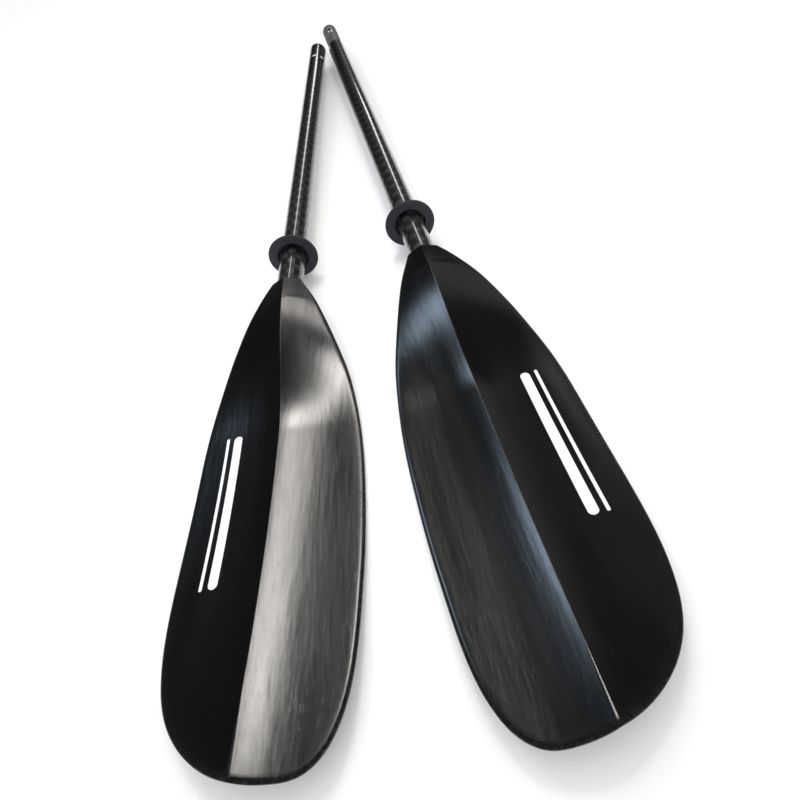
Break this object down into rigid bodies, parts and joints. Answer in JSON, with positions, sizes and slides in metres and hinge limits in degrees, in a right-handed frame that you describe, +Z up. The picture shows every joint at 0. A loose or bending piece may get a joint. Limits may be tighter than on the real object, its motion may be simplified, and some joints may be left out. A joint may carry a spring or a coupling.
{
  "type": "kayak paddle",
  "caption": "Two-piece kayak paddle with dihedral asymmetric blades, round tube shafts, a snap-button ferrule joint and rubber drip rings, laid out in two halves.",
  "frame": {"origin": "on the floor at the centre of the footprint of the two halves as laid out", "axes": "+Z up, +Y from the blades towards the shafts' joint ends, +X from the half with the socket to the half with the ferrule"},
  "size_m": [0.3644, 1.2488, 0.057],
  "materials": {
    "shaft_carbon": "clear-coated woven carbon, gloss",
    "blade_nylon": "moulded glass-filled nylon, fine grain with a satin sheen",
    "ring_rubber": "matte moulded rubber",
    "ferrule_sleeve": "sanded grey composite, matte",
    "button_steel": "polished stainless steel",
    "spring_steel": "rolled spring strip",
    "plug_foam": "closed-cell foam"
  },
  "bodies": {
    "female_half": {"female_blade": "blade_nylon", "female_shaft": "shaft_carbon", "female_water_stop": "plug_foam"},
    "female_ring": {"female_drip_ring": "ring_rubber"},
    "swing_carrier": {"male_water_stop": "plug_foam"},
    "slide_carrier": {"ferrule_plug": "plug_foam"},
    "male_half": {"male_blade": "blade_nylon", "male_shaft": "shaft_carbon", "male_ferrule": "ferrule_sleeve", "button_spring": "spring_steel"},
    "button": {"snap_button": "button_steel"},
    "male_ring": {"male_drip_ring": "ring_rubber"}
  },
  "joints": [
    {"name": "half_swing", "type": "hinge", "parent": "female_half", "child": "swing_carrier", "pos_m": [-0.0005, 0.58418, 0.0285], "axis": [0, 0, 1], "range_deg": [0, 170.22]},
    {"name": "ferrule_slide", "type": "slide", "parent": "swing_carrier", "child": "slide_carrier", "axis": [-0.0852, 0.9964, 0], "range_m": [0, 0.1038]},
    {"name": "feather", "type": "hinge", "parent": "slide_carrier", "child": "male_half", "pos_m": [0.0172, 0.52766, 0.0285], "axis": [-0.0852, 0.9964, 0], "range_deg": [-60, 60]},
    {"name": "button_press", "type": "slide", "parent": "male_half", "child": "button", "axis": [0, 0, -1], "range_m": [0, 0.0042], "stiffness_N_per_m": 900, "springref_m": -0.002, "deforming": ["button_spring"]},
    {"name": "female_ring_slide", "type": "slide", "parent": "female_half", "child": "female_ring", "axis": [0.0852, 0.9964, 0], "range_m": [-0.052, 0.25]},
    {"name": "male_ring_slide", "type": "slide", "parent": "male_half", "child": "male_ring", "axis": [-0.0852, 0.9964, 0], "range_m": [-0.062, 0.25]}
  ]
}
